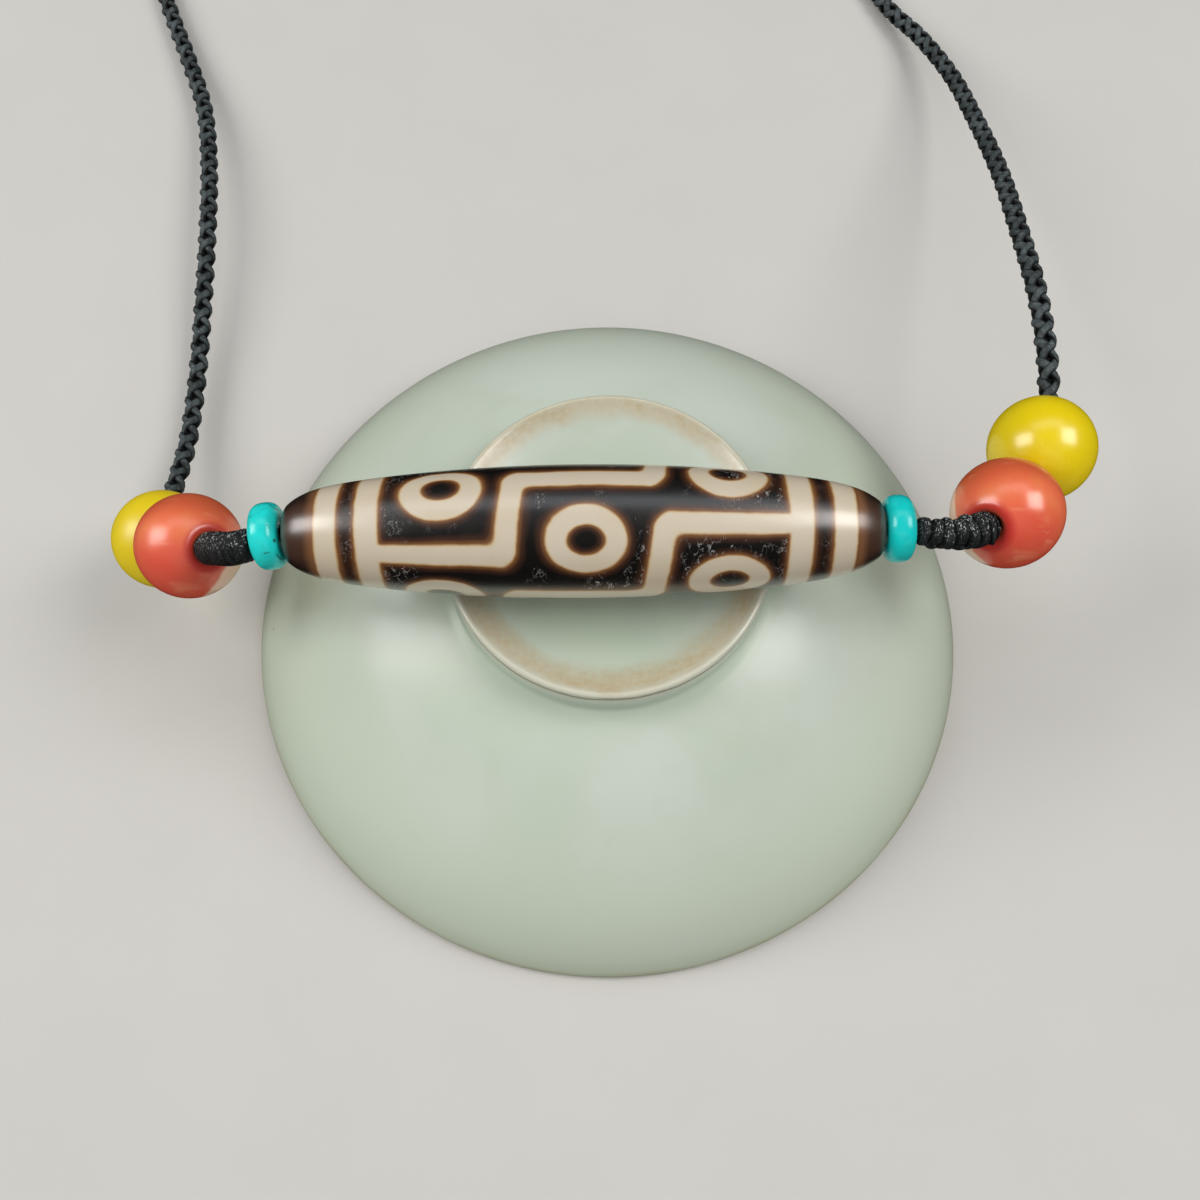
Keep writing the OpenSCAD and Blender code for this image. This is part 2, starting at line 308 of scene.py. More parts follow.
# Round spots in some cells of a pattern
def pitSpots(vector, i):
    far, luck = addNode(vector.tree, "ShaderNodeTexVoronoi", {"Vector": vector, "Scale": i["Scale"]})[:2]
    luck = addNode(vector.tree, "ShaderNodeSeparateColor", {0: luck})
    size = i["Size"] * (luck[1] + 0.4)
    return softStep(size - far, 0.0, 0.04) * luck[0].do("LESS_THAN", i["Share"])


# Small pits and their lit edges, a painted highlight: the spots, and the spots less a shifted copy
pits, i, o = startGroup("tinyPits", {
    "Vector": None, "Scale": 400.0, "Share": 0.3, "Size": 0.1, "Shift": (0.0, 0.0, 0.0)}, ["Pit", "LitEdge"])
spot = pitSpots(i["Vector"], i)
shifted = pitSpots(vectorDo("ADD", i["Vector"], i["Shift"])[0], i)
plug(o["Pit"], spot)
plug(o["LitEdge"], spot.do("SUBTRACT", shifted, clamp=True))

# Waxed yarn on a round piece's own map: plies that climb it, and short bright fibres along the wraps, whose
# brightness is a painted glint.
# Both are read on a cylinder, so that they meet where the map does
yarn, i, o = startGroup("waxedYarn", {
    "Along": 0.0, "Round": 0.0, "Plies": 3.0, "Climb": 1.0, "Fine": 9.0, "Girth": 4.0}, ["Height", "FibreGlint"])
a = i["Round"] * (2 * math.pi)
plies = abs((i["Along"] * i["Plies"] + i["Round"] * i["Climb"]).do("MULTIPLY", math.pi).do("SINE"))
tube = joined(i["Along"] * i["Fine"], a.do("COSINE") * i["Girth"], a.do("SINE") * i["Girth"])
plug(o["Height"], plies)
plug(o["FibreGlint"], softStep(noiseAt(tube, 1.0, 1.5, 0.6)[0], 0.56, 0.68))


cameraSet = {"place": (1.58, -48.6, 143.0), "tilt": 20.0, "lens": 36.0, "sensor": 36.0, "clip": 10.0}
camera = bpy.data.objects.new("camera", bpy.data.cameras.new("camera"))
camera.location = [c * metre for c in cameraSet["place"]]
camera.rotation_euler = (math.radians(cameraSet["tilt"]), 0, 0)
camera.data.lens, camera.data.sensor_width = cameraSet["lens"], cameraSet["sensor"]
camera.data.clip_start = cameraSet["clip"] * metre
link(camera)
bpy.context.scene.camera = camera
bpy.context.scene.view_settings.view_transform = "Standard"

# two softboxes, a wide soft ceiling and a fill from the viewer's side that leaves no gloss; each stands
# off along its way from a point a little above the floor, and looks at it
lightMiddle = np.array([0, 0, 30.0])
lightSet = {
    "left": {"way": (-0.78, 0.08, 0.61), "far": 620, "size": (280, 400), "watts": 2.12,
             "colour": (1.0, 0.985, 0.965)},
    "right": {"way": (0.64, 0.06, 0.76), "far": 620, "size": (310, 310), "watts": 1.95,
              "colour": (1.0, 0.98, 0.955)},
    "over": {"way": (0.0, 0.48, 0.877), "far": 900, "size": (1000, 320), "watts": 1.2,
             "colour": (0.9, 0.96, 1.0)},
    "fill": {"way": (0.0, -0.62, 0.78), "far": 800, "size": (800, 800), "watts": 1.9,
             "colour": (1.0, 0.99, 0.97)},
}
worldSet = {"colour": (0.74, 0.76, 0.77, 1), "strength": 0.27}
for name, s in lightSet.items():
    lamp = bpy.data.lights.new(name + "Light", "AREA")
    lamp.shape, lamp.size, lamp.size_y = "RECTANGLE", s["size"][0] * metre, s["size"][1] * metre
    lamp.energy, lamp.color = s["watts"], s["colour"]
    holder = bpy.data.objects.new(name + "Light", lamp)
    holder.visible_glossy = name != "fill"
    way = unit(s["way"])
    side = unit(np.cross([0, 1, 0] if abs(way[0]) < 0.1 else [0, 0, 1], way))
    turn = np.eye(4)
    turn[:3, 0], turn[:3, 1], turn[:3, 2] = side, np.cross(way, side), way
    turn[:3, 3] = (way * s["far"] + lightMiddle) * metre
    holder.matrix_world = Matrix(turn.tolist())
    link(holder)
world = bpy.data.worlds.new("studio")
world.use_nodes = True
background = world.node_tree.nodes["Background"].inputs
background[0].default_value, background[1].default_value = worldSet["colour"], worldSet["strength"]
bpy.context.scene.world = world
# the glossy pieces show the softboxes and each other, not the pale room
world.cycles_visibility.glossy = False
print("camera and lights: done")


# the string's places as the frame has them, from the long bead outwards, left side then right side
string = {
    "dziMiddle": (0.0, -1.8, 34.16), "dziTurn": 0.5, "dziLong": 58.6, "gap": 0.2, "lean": [0.15, 0.0],
    "steps": 24,
    "discWay": [(-0.985, -0.1, -0.085), (1.0, 0.02, 0.02)], "discThick": 2.8,
    "knotRoute": [[(0, 0, 0), (-0.8, -0.1, -0.1), (-1.7, -0.2, -0.75), (-2.9, 0.05, -2.2), (-4.2, 0.65, -4.1),
                   (-5.6, 1.5, -6.3), (-6.98, 2.33, -8.25)],
                  [(0, 0, 0), (1.1, -0.08, -0.08), (2.6, -0.3, -0.36), (4.4, -0.26, -0.68),
                   (6.2, 0.17, -1.17), (7.76, 0.73, -1.62)]],
    "coralWay": [(-0.657, 0.332, -0.676), (0.617, 0.551, -0.565)], "coralAcross": 11.5, "knotSink": 0.2,
    "linkWay": [(-0.54, 0.38, -0.74), (0.514, 0.796, -0.318)],
    "yellowWay": [(-0.43, 0.44, -0.79), (0.3, 0.95, -0.03)], "yellowAcross": 11.5, "cordSink": 1.3,
    "cordGap": 0.2, "hole": 0.9,
    "knotPush": [0.3, -0.12],  # the dressed knots reach this far into the red beads' mouths
}
sides, ends = ("left", "right"), ("Left", "Right")
dziMiddle = np.array(string["dziMiddle"])
dziTurn = math.radians(string["dziTurn"])
dziWay = np.array([math.cos(dziTurn), math.sin(dziTurn), 0])
places = []
for k, sign in enumerate((-1, 1)):
    discWay, coralWay = unit(string["discWay"][k]), unit(string["coralWay"][k])
    linkWay, yellowWay = unit(string["linkWay"][k]), unit(string["yellowWay"][k])
    coralHalf, yellowHalf = string["coralAcross"] / 2, string["yellowAcross"] / 2
    dziEnd = dziMiddle + sign * dziWay * string["dziLong"] / 2
    discIn = dziEnd + discWay * (string["gap"] + string["lean"][k])
    discOut = discIn + discWay * string["discThick"]
    route = discOut + discWay * string["gap"] + np.array(string["knotRoute"][k], float)
    coral = route[-1] + coralWay * (coralHalf - string["knotSink"])
    yellow = coral + linkWay * (coralHalf + yellowHalf + string["gap"])
    places.append({
        "discWay": discWay, "coralWay": coralWay, "yellowWay": yellowWay, "disc": (discIn + discOut) / 2,
        "knot": np.vstack([smoothLine(route, string["steps"]),
                           route[-1] + coralWay * string["knotPush"][k]]),
        "coral": coral, "yellow": yellow,
        "thread": np.vstack([dziEnd, discIn, discOut, route, coral, coral + coralWay * coralHalf,
                             yellow - yellowWay * yellowHalf,
                             yellow + yellowWay * (yellowHalf - string["cordSink"] - string["cordGap"])])})


# each list holds knot thread, then braid thread; a pair is where a change starts and where it is full
cordLook = {
    "base": [(0.005, 0.0055, 0.006, 1), (0.022, 0.027, 0.029, 1)],
    "wornAndLitCrest": [(0.02, 0.022, 0.023, 1), (0.08, 0.096, 0.1, 1)],
    "fibreGlint": [(0.56, 0.6, 0.61, 1), (0.26, 0.3, 0.31, 1)], "paintedShade": (0.0018, 0.002, 0.0022, 1),
    "wear": (260.0, 0.4, 0.62), "glossWay": (0.0, 0.35, 0.94), "lit": (0.3, 0.95), "rough": (0.6, 0.38),
    "wander": 0.5, "wanderScale": 900.0, "groove": (0.5, 0.95), "inwards": (-0.92, -0.1),
}
yarnLook = {"plies": 3.2, "climb": 1.0, "fine": 7.5, "girth": 6.5, "fibreGlintShare": 1.0, "bumpDepth": 0.03}
braidLook = {"plies": 1.3, "climb": 2.0, "fine": 7.0, "girth": 2.2, "fibreGlintShare": 0.55, "bumpDepth": 0.04}


# kind is 0 for knot thread and 1 for braid thread; plies are per millimetre along, climb and girth are
# per turn, fine is the fibres' closeness along
def cordMaterial(name, kind, plies, climb, fine, girth, fibreGlintShare, bumpDepth, wound=None):
    material, tree, shader = newMaterial(name, Specular_IOR_Level=0.18)
    base, wornAndLitCrest, glintColour = (cordLook[part][kind] for part in ("base", "wornAndLitCrest", "fibreGlint"))
    along, share = pieceMap(tree)
    height, fibreGlint = placed(tree, yarn, {
        "Along": along, "Round": share, "Plies": plies, "Climb": climb, "Fine": fine, "Girth": girth})
    wear = patches(objectPlace(tree), *cordLook["wear"])
    # painted glint: the fibres are lighter only where the surface faces the lights' way
    facing = vectorDo("DOT_PRODUCT", addNode(tree, "ShaderNodeNewGeometry")[1], cordLook["glossWay"])[1]
    # painted light and shade: the ply crests are lighter and the troughs darker, mixed with slow worn patches
    colour = blend((height * 0.5 + 0.5) * (wear * 0.7 + 0.3), base, wornAndLitCrest)
    lit = softStep(facing, *cordLook["lit"]) * 0.9 + 0.1
    colour = blend(fibreGlint * (height * 0.6 + 0.4) * lit * fibreGlintShare, colour, glintColour)
    if wound:  # painted shade: the grooves between a wound piece's wraps are painted black
        lean = (share * (2 * math.pi) - wound["leanFrom"]).do("COSINE") * wound["lean"]
        wander = (noiseAt(objectPlace(tree), cordLook["wanderScale"], 1.0)[0] - 0.5) * cordLook["wander"]
        wrap = along * (1 / wound["pitch"]) - share * wound["starts"] + lean + wander
        groove = softStep(abs(wrap.do("FRACT") * 2 - 1), *cordLook["groove"]) * wound["shade"]
        colour = blend(groove, colour, cordLook["paintedShade"])
    if kind == 1:  # painted shade: the side of a strand that looks inwards is painted black, and so is the core
        inwards = softStep((share * (2 * math.pi)).do("COSINE") * -1, *cordLook["inwards"])
        inCore = along.do("LESS_THAN", 0.0)
        colour = blend(inwards.do("MAXIMUM", inCore), colour, cordLook["paintedShade"])
    plug(shader["Base Color"], colour)
    plug(shader["Roughness"], between(fibreGlint, *cordLook["rough"]))
    setBump(shader, [(height, bumpDepth, 1.0), (fibreGlint, 0.02, 0.8)])
    return material


neckCordSet = {
    "route": [
        (-51.55, 8.25, 9.55), (-52.6, 10.3, 7.4), (-52.8, 13.8, 5.5), (-52.4, 18.5, 4.2), (-52.1, 25.5, 3),
        (-52.1, 35, 2.9), (-52.3, 46, 3.8), (-52.8, 57, 4.4), (-54, 68, 3.9), (-56.3, 79, 2.8),
        (-60.3, 89.5, 1.8), (-64.2, 99, 1.4), (-68.2, 110.5, 1.4), (-71.4, 124, 1.4), (-72.4, 138, 1.4),
        (-70.6, 152, 1.4), (-66, 165, 1.5), (-61, 174.5, 1.8), (-54.5, 181.5, 2.3), (-47.5, 184.6, 2.6),
        (-41.5, 185, 2.7), (-36, 185, 2.7), (-30.5, 185, 2.7), (-24.5, 184.6, 2.6), (-17, 182, 2.2),
        (-7.5, 176.5, 1.6), (3.5, 168, 1.4), (14, 157, 1.4), (23.5, 144, 1.4), (32, 129, 1.4),
        (39, 114, 1.4), (45, 100, 1.7), (49.4, 91.8, 3.2), (52.2, 81.8, 6.2), (53.2, 70, 10.5),
        (53.4, 57, 15.7), (52.7, 44, 20.8), (52.2, 32, 24.6), (51.6, 22, 26), (51, 15.9, 25.65)],
    "across": 2.6, "strandThick": 0.46, "strandWide": 0.54, "swing": 0.19, "core": 0.42,
    "period": 5.4, "ringsEach": 18, "sides": 10, "steps": 16,
}


# A round braid: four strands climb round the line, two each way, and swing out and in where they cross.
# Strand centre = line + (mean radius + swing x cos(2 x turn)) at the turn's angle; its ring is an ellipse
# square to its own run. A core painted in the shade colour fills the middle, and its map runs below nought
def braidShells(line, at, s):
    across, over = lineFrame(line)
    middle = s["across"] / 2 - s["strandThick"] - s["swing"]
    turn = 2 * np.pi * at / s["period"]
    a = fullTurn(s["sides"])
    shells = []
    for sense, phase in ((1, 0.0), (1, np.pi), (-1, 0.0), (-1, np.pi)):
        angle = (sense * turn + phase)[:, None]
        outwards = np.cos(angle) * across + np.sin(angle) * over
        centre = line + outwards * (middle + sense * s["swing"] * np.cos(2 * turn))[:, None]
        way = unit(np.gradient(centre, axis=0))
        out = unit(outwards - np.sum(outwards * way, 1, keepdims=True) * way)
        flat = np.cross(way, out)
        grid = (centre[:, None, :] + s["strandThick"] * np.cos(a)[None, :, None] * out[:, None, :]
                + s["strandWide"] * np.sin(a)[None, :, None] * flat[:, None, :])
        shells.append({"grid": grid, "along": at})
    core = ringsRound(line, np.full((len(line), s["sides"]), s["core"]), a)
    return shells + [{"grid": core, "along": at - at[-1] - 1}]


rough = smoothLine(neckCordSet["route"], neckCordSet["steps"])
length = np.linalg.norm(np.diff(rough, axis=0), axis=1).sum()
cordLine, cordAt = evenLine(rough, int(length / neckCordSet["period"] * neckCordSet["ringsEach"]))
neckMaterial = cordMaterial("neckBraidBlack", 1, **braidLook)
braid = braidShells(cordLine, cordAt, neckCordSet)
neckCord = buildPiece("neckCordBraid", braid, neckMaterial)
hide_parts("neck_cord")


wrapShape = {"bulge": 0.94, "plyWobble": 0.12, "sagLong": 0.7, "sagPower": 1.5, "holeRings": 6}


# A wound sleeve: outer radius = even radius less the grooves between round wraps that climb one pitch a
# turn and lean, less fine plies, plus slow lumps; the ends are rounded down to the hole. Next to its disc
# it hangs to the near side of its thread, by sag x (1 - share of the length)^power
def woundShell(line, s):
    line, at = evenLine(line, s["rows"])
    a = fullTurn(s["around"])[None, :]
    even = s["startRadius"] + (s["endRadius"] - s["startRadius"]) * (at / at[-1]) ** s.get("swell", 1.0)
    wrap = at[:, None] / s["pitch"] - s["starts"] * a / (2 * np.pi) + s["lean"] * np.cos(a - s["leanFrom"])
    phase = 2 * (wrap - np.floor(wrap)) - 1
    bulge = np.sqrt(np.clip(1 - wrapShape["bulge"] * phase ** 2, 0, 1))
    plies = np.abs(np.sin(np.pi * s["plies"] * (wrap + wrapShape["plyWobble"] * np.sin(3 * a + 5 * wrap))))
    lumps = 0.5 * np.cos(np.pi * np.floor(wrap) + 2 * a) + 0.5 * np.cos(2.1 * wrap + 3 * a)
    radius = even[:, None] - s["groove"] * (1 - bulge) - s["plyDepth"] * (1 - plies) + s["lump"] * lumps
    for end, reach in ((at, s["startRound"]), (at[-1] - at, s["endRound"])):
        short = np.clip(1 - end / reach, 0, 1)
        radius = s["hole"] + (radius - s["hole"]) * np.sqrt(np.clip(1 - short ** 2, 0, 1))[:, None]
    back = np.linspace(s["rows"] - 1, 0, wrapShape["holeRings"] + 2).astype(int)[1:-1]
    inner = ringsRound(line, np.full((s["rows"], s["around"]), s["hole"]), fullTurn(s["around"]))[back]
    outer = ringsRound(line, radius, fullTurn(s["around"]))
    nearDisc = np.clip(1 - at / at[-1] / wrapShape["sagLong"], 0, 1)
    outer[:, :, 1] -= (nearDisc ** wrapShape["sagPower"] * s.get("sag", 0.0))[:, None]
    return {"grid": np.vstack([outer, inner]), "along": np.concatenate([at, at[back]]), "closeAlong": True}


joinSet = {"at": 21, "half": 6.0, "startRadius": 2.5, "endRadius": 2.5, "hole": 1.45, "pitch": 1.1,
           "starts": 1, "lean": 0.0, "leanFrom": 0.0, "groove": 0.32, "plies": 3, "plyDepth": 0.04,
           "lump": 0.03, "startRound": 1.0, "endRound": 1.0, "shade": 0.8, "rows": 260, "around": 72}
joinMiddle = np.array(neckCordSet["route"][joinSet["at"]], float)
joinEnds = joinMiddle + np.array([[-joinSet["half"], 0, 0], [joinSet["half"], 0, 0]])
join = buildPiece("neckCordJoin", [woundShell(joinEnds, joinSet)],
                  cordMaterial("joinThreadBlack", 0, **yarnLook, wound=joinSet))
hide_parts("cord_join")

knotSets = [
    {"startRadius": 1.66, "endRadius": 1.8, "swell": 0.5, "pitch": 1.0, "lean": 0.3, "leanFrom": 1.2,
     "groove": 0.09, "plyDepth": 0.045, "lump": 0.03, "endRound": 0.6, "shade": 0.35, "sag": 0.75},
    {"startRadius": 1.42, "endRadius": 1.86, "swell": 1.3, "pitch": 1.2, "lean": 0.22, "leanFrom": 2.6,
     "groove": 0.38, "plyDepth": 0.05, "lump": 0.18, "endRound": 0.45, "shade": 0.75, "sag": 0.3},
]
bothKnots = {"starts": 1, "plies": 4, "startRound": 0.3, "hole": string["hole"], "rows": 420, "around": 128}
for k in (0, 1):
    s = {**knotSets[k], **bothKnots}
    look = cordMaterial("knotThread" + ends[k], 0, **yarnLook, wound=s)
    knot = buildPiece("knottedCord" + ends[k], [woundShell(places[k]["knot"], s)], look)
    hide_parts("knot_cord_" + sides[k])

# The thread in the holes: radius = full x (1 - lobe x (1 - |cos(plies / 2 x turn)|)), and the lobes turn
# once each lead along the line, whose corners are softened by a running mean
threadSet = {"radius": 0.69, "plies": 3, "lobe": 0.12, "lead": 3.6, "rows": 1300, "around": 18, "soften": 15}
corners = np.vstack([places[0]["thread"][::-1], places[1]["thread"]])
fine = evenLine(corners, threadSet["rows"] * 2)[0]
half = threadSet["soften"] // 2
padded = np.vstack([np.repeat(fine[:1], half, 0), fine, np.repeat(fine[-1:], half, 0)])
fine = np.stack([np.convolve(padded[:, k], np.ones(threadSet["soften"]) / threadSet["soften"], "valid")
                 for k in range(3)], 1)
threadLine, threadAt = evenLine(fine, threadSet["rows"])
a = fullTurn(threadSet["around"])
twist = a[None, :] - 2 * np.pi * threadAt[:, None] / threadSet["lead"]
lobes = 1 - threadSet["lobe"] * (1 - np.abs(np.cos(threadSet["plies"] / 2 * twist)))
threadShell = {"grid": ringsRound(threadLine, threadSet["radius"] * lobes, a), "along": threadAt}
thread = buildPiece("beadThreadTwisted", [threadShell], neckMaterial)
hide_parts("bead_thread")
print("cords: neck cord", round(length, 1), "mm long in", len(cordLine), "rings")


bowlSet = {
    "x": 2.5, "rimRadius": 43.0, "rimSlope": 68.0, "high": 28.0, "wall": 2.6, "rimRound": 0.7,
    "footRadius": 17.08, "footHigh": 4.5, "crest": 0.4, "crestTurn": 112.0, "corner": 0.6, "wallEnd": 1.4,
    "dishDeep": 2.8, "dishPower": 3.6, "pole": 0.35, "oval": (1.011, 0.991), "around": 288,
    "points": {"rim": 8, "wall": 90, "corner": 6, "crest": 28, "dish": 60, "inside": 40},
    "glaze": (0.515, 0.588, 0.487, 1), "pale": (0.58, 0.638, 0.57, 1), "olive": (0.44, 0.49, 0.345, 1),
    "tan": (0.46, 0.34, 0.165, 1), "bare": (0.6, 0.585, 0.475, 1), "poolAndShade": (0.46, 0.57, 0.435, 1),
    "thin": (0.4, 0.395, 0.245, 1), "outer": (0.63, 0.7, 0.57, 1),
    "line": (0.12, 0.058, 0.025, 1), "speck": (0.13, 0.08, 0.05, 1),
    "paleCloud": (34.0, 0.35, 0.68), "oliveCloud": (110.0, 0.5, 0.8),
    # where a tone starts and where it is full: millimetres from the middle, over the floor or along Y
    "paintedLightFar": (24.0, 38.0), "oliveHigh": (5.0, 0.0), "thinHigh": (1.9, 0.3), "topHigh": (25.6, 26.4),
    "poolFar": (15.0, 9.0), "footFar": 17.9, "footPool": (1.6, 0.2), "footPoolHigh": (25.4, 24.4),
    "bareFar": (14.0, 16.0), "tanIn": (12.7, 14.8), "tanOut": (16.9, 15.7), "driftY": (-2.0, 13.0),
    "lineHigh": 27.25, "lineHalf": (0.46, 0.12), "lineFar": (16.4, 16.9), "glossFar": (15.6, 16.6),
}


def bowlMaterial(s):
    material, tree, shader = newMaterial(
        "celadonGlaze", Specular_IOR_Level=0.6, Coat_Weight=0.35, Coat_Roughness=0.22)
    place = objectPlace(tree, (s["x"], 0, 0))
    x, y, z = addNode(tree, "ShaderNodeSeparateXYZ", {0: place})
    far = vectorDo("LENGTH", joined(x, y), (0, 0, 0))[1] * millimetres
    high = z * millimetres
    cloud = patches(place, *s["paleCloud"])
    colour = blend(cloud, s["glaze"], s["pale"])
    colour = blend(patches(place, *s["oliveCloud"]) * 0.25, colour, s["olive"])
    # painted light: the wall is lighter towards the rim, where it tilts away from the lights
    colour = blend(softStep(far, *s["paintedLightFar"]) * 0.7, colour, s["outer"])
    colour = blend(softStep(high, *s["oliveHigh"]) * 0.45, colour, s["olive"])
    wavyRim = high + (noiseAt(place, 120.0)[0] - 0.5) * 1.5
    colour = blend(softStep(wavyRim, *s["thinHigh"]) * 0.75, colour, s["thin"])
    # the glaze thins over the foot's crest: pale there, tan inside it that fades into the dish, and a thin
    # brown line under the crest outside; it pools greener in the dish and round the foot, and these greens
    # are also painted shade: in the dish for the shade under the long bead, round the foot's base for its
    # corner
    shift = noiseAt(place, 260.0, 3.0)[0] - 0.5
    wavyFar, wavyHigh = far + shift * 1.5, high + shift * 0.8
    onTop = softStep(high, *s["topHigh"])
    colour = blend(softStep(far, *s["poolFar"]) * 0.45, colour, s["poolAndShade"])
    footCornerPoolAndShade = softStep(abs(far - s["footFar"]), *s["footPool"]) * softStep(high, *s["footPoolHigh"])
    colour = blend(footCornerPoolAndShade * 0.55, colour, s["poolAndShade"])
    colour = blend(softStep(wavyFar, *s["bareFar"]) * onTop * 0.85, colour, s["bare"])
    fineSpeckle, slowSpeckle = (between(noiseAt(place, n, 2.0)[0], 0.3, 1.5) for n in (1500.0, 150.0))
    # on the far side the tan lies nearer the crest
    drift = softStep(y * millimetres, *s["driftY"])
    tan = softStep(wavyFar - drift * 1.3, *s["tanIn"]) * softStep(wavyFar - drift * 0.5, *s["tanOut"]) * onTop
    colour = blend((tan * (fineSpeckle * slowSpeckle) * 0.6).do("MINIMUM", 1.0), colour, s["tan"])
    ringLine = softStep(abs(wavyHigh - s["lineHigh"]), *s["lineHalf"]) * softStep(far, *s["lineFar"])
    colour = blend(ringLine * 0.95, colour, s["line"])
    specks = placed(tree, pits, {"Vector": place, "Scale": 95.0, "Share": 0.2, "Size": 0.03})[0]
    colour = blend(specks * 0.8, colour, s["speck"])
    plug(shader["Base Color"], colour)
    glossier = softStep(wavyFar, *s["glossFar"]) * onTop
    plug(shader["Roughness"], between(cloud, 0.4, 0.34) - glossier * 0.2)
    setBump(shader, [(noiseAt(place, 330.0, 2.0)[0], 0.03, 0.5), (specks, -0.05, 1.0)])
    return material


# The bowl's outline, turned round the upright axis: rim, wall arc, foot, crest, dish, inside flat and arc
def bowlOutline(s):
    n = s["points"]
    rim, foot, crest, high = s["rimRadius"], s["footRadius"], s["crest"], s["high"]
    acrossWall, rise, slope = rim - foot, high - s["footHigh"], math.radians(s["rimSlope"])
    outer = (acrossWall ** 2 + rise ** 2) / (2 * (acrossWall * math.sin(slope) - rise * math.cos(slope)))
    centre = (rim - outer * math.sin(slope), -outer * math.cos(slope))
    inside = outer - s["wall"]
    footA = math.degrees(math.acos((foot - centre[0]) / outer))
    lip, crestTurn = foot - crest, math.radians(s["crestTurn"])
    edge = lip + crest * math.cos(crestTurn)
    drop = s["dishDeep"] - crest * (1 - math.sin(crestTurn))
    dish = np.linspace(edge, s["pole"], n["dish"])[1:]
    floorZ = min(high - s["dishDeep"] - s["wall"], centre[1] + inside)
    flatA = math.degrees(math.asin((floorZ - centre[1]) / inside))
    innerA = math.degrees(math.asin(-centre[1] / inside))
    r, c = s["rimRound"], s["corner"]
    low = math.degrees(math.asin((r - centre[1]) / (outer - r)))
    rimMiddle = (centre[0] + (outer - r) * math.cos(math.radians(low)), r)
    corner = (foot + c, centre[1] + outer * math.sin(math.radians(footA)) + c)
    return np.vstack([
        arcPoints(rimMiddle, r, -90, low, n["rim"]),
        arcPoints(centre, outer, low, footA - s["wallEnd"], n["wall"])[1:],
        arcPoints(corner, c, 250, 180, n["corner"]),
        arcPoints((lip, high - crest), crest, 0, s["crestTurn"], n["crest"]),
        np.stack([dish, high - s["dishDeep"] + drop * (dish / edge) ** s["dishPower"]], 1),
        [[s["pole"], floorZ]], arcPoints(centre, inside, flatA, innerA, n["inside"])])


outline = bowlOutline(bowlSet)
run = np.concatenate([[0], np.cumsum(np.linalg.norm(np.diff(outline, axis=0), axis=1))])
bowlMiddle = (bowlSet["x"], 0, 0)
bowlGrid = turned(outline[:, 1], outline[:, 0], bowlMiddle, (0, 0, 1), (1, 0, 0), bowlSet["around"])
# hand-thrown: towards the rim it is a little wider one way than the other
footRadius = bowlSet["footRadius"]
share = np.clip((outline[:, 0] - footRadius) / (bowlSet["rimRadius"] - footRadius), 0, 1)
for axis, middle in enumerate(bowlMiddle[:2]):
    stretch = 1 + (bowlSet["oval"][axis] - 1) * share[:, None]
    bowlGrid[:, :, axis] = middle + (bowlGrid[:, :, axis] - middle) * stretch
bowl = buildPiece("celadonBowlUpturned", closedShell(bowlGrid, run), bowlMaterial(bowlSet))
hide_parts("stand_bowl")
print("bowl:", len(outline), "outline points")


# turns are in degrees from the side that faces the viewer; the drawing repeats every third of a turn
dziSet = {
    "across": 13.2, "arc": 174.0, "rows": 240, "around": 160, "look": 66.7,
    "facePoints": 4, "holePoints": 9, "roundMm": 0.1108,  # millimetres round it for each degree
    # each end falls away by this much over this length, then a small edge round
    "fall": (1.5, 1.53), "fallLong": (1.75, 2.07), "edge": 0.35,
    # each eye: middle along, middle turn, how far its pupil sits off the middle round the bead in degrees
    "eyes": [(-13.56, -39.9, -3.2), (-13.56, 77.0, 0.0), (-13.56, 197.0, 1.5),
             (0.22, 6.6, 0.6), (0.2, 127.0, -1.0), (0.0, 247.5, 1.0),
             (14.0, 51.6, 0.0), (13.9, -60.5, -3.6), (14.0, 174.0, 2.0)],
    "eyeOuter": 3.87, "eyeSquash": 1.2, "eyePupil": 1.87, "pupilSquash": 1.1,
    # each line: middle along, middle turn, half length, half turn, millimetres of lean per degree
    "lines": [(-14.1, 21.0, 6.1, 0.0, 0.0), (-7.1, -14.5, 0.0, 31.0, -0.0112), (0.0, -50.5, 6.1, 0.0, 0.0),
              (7.2, -89.5, 0.0, 33.0, -0.015), (14.4, -126.5, 6.1, 0.0, 0.0)],
    "lineHalf": 1.04, "corner": 1.3,
    "bands": [(-20.46, 1.13), (20.68, 1.14), (-24.57, 1.1), (25.08, 1.12)],
    "cream": (0.61, 0.53, 0.415, 1), "creamWarm": (0.6, 0.475, 0.31, 1), "tan": (0.44, 0.27, 0.12, 1),
    "amber": (0.19, 0.075, 0.02, 1), "umber": (0.05, 0.018, 0.008, 1), "black": (0.007, 0.0055, 0.005, 1),
    "cap": (0.062, 0.027, 0.016, 1), "capWarm": (0.2, 0.085, 0.032, 1), "capShade": (0.026, 0.014, 0.01, 1),
    "chipLitEdgeAndScratch": (0.42, 0.4, 0.38, 1),
    # how far drawn edges wander slowly and fray: millimetres along, degrees round
    "wander": (0.45, 4.0), "fray": (0.16, 1.4),
    # the six tones from cream to black lie at these shares of a span of distances from the drawn edge
    "edgeSpan": (-0.6, 0.9), "edgeWidth": (1.15, 0.45), "edgeStops": [0.24, 0.345, 0.4, 0.475, 0.68, 0.98],
    "warmCloud": (190.0, 0.35, 0.75), "capFrom": (25.6, 26.2), "capGlow": (1.5, 0.2), "capShadeTurn": (30.0, 60.0),
    "chipGroups": (120.0, 0.5, 0.62), "chipSquash": 0.55, "chipBend": 1.1, "chipAlong": (25.5, 18.0),
    "chips": {"Scale": 1.25, "Share": 0.11, "Size": 0.17, "Shift": (0.09, -0.05, 0.0)},
    "fineChips": {"Scale": 3.1, "Share": 0.05, "Size": 0.2, "Shift": (0.04, -0.03, 0.0)},
    "strokeWide": (0.05, 0.012), "strokeGroups": (1.3, 0.5, 0.57),
}

